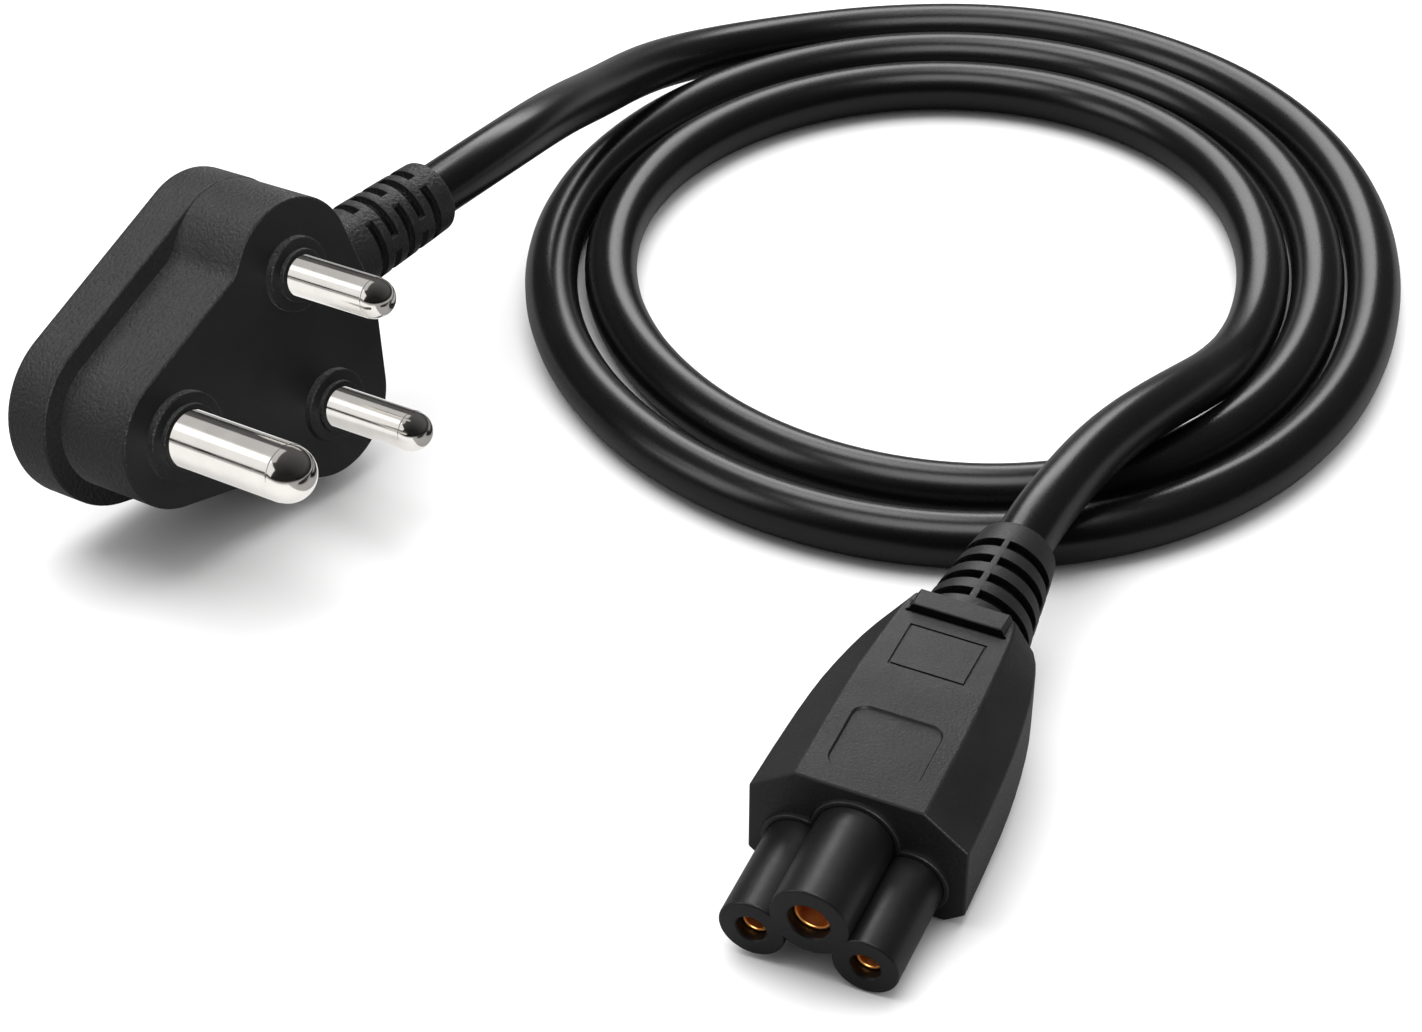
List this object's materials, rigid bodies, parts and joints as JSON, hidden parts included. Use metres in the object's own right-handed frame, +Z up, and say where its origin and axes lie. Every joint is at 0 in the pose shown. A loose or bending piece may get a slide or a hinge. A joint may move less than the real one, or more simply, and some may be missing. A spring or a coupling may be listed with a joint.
{
  "type": "power cord",
  "caption": "Mains lead for a small appliance: a right-angle plug with round pins, a round black cord lying in loose turns, and a cloverleaf connector.",
  "frame": {"origin": "on the floor that the cord lies on, under the middle of the box around the plug and the connector", "axes": "+Z up, +Y from the plug and the connector toward the turns of the cord"},
  "size_m": [0.1757, 0.2087, 0.0399],
  "materials": {
    "body_pvc": "satin black, finely grained",
    "cord_pvc": "smooth satin black",
    "nose_plastic": "half gloss black",
    "pin_metal": "bright nickel plate",
    "contact_metal": "bare copper alloy"
  },
  "bodies": {
    "root": {"plug_body": "body_pvc", "earth_pin": "pin_metal", "line_pin": "pin_metal", "neutral_pin": "pin_metal", "cord": "cord_pvc", "connector_body": "body_pvc", "connector_nose": "nose_plastic", "earth_contact": "contact_metal", "line_contact": "contact_metal", "neutral_contact": "contact_metal"}
  },
  "joints": []
}
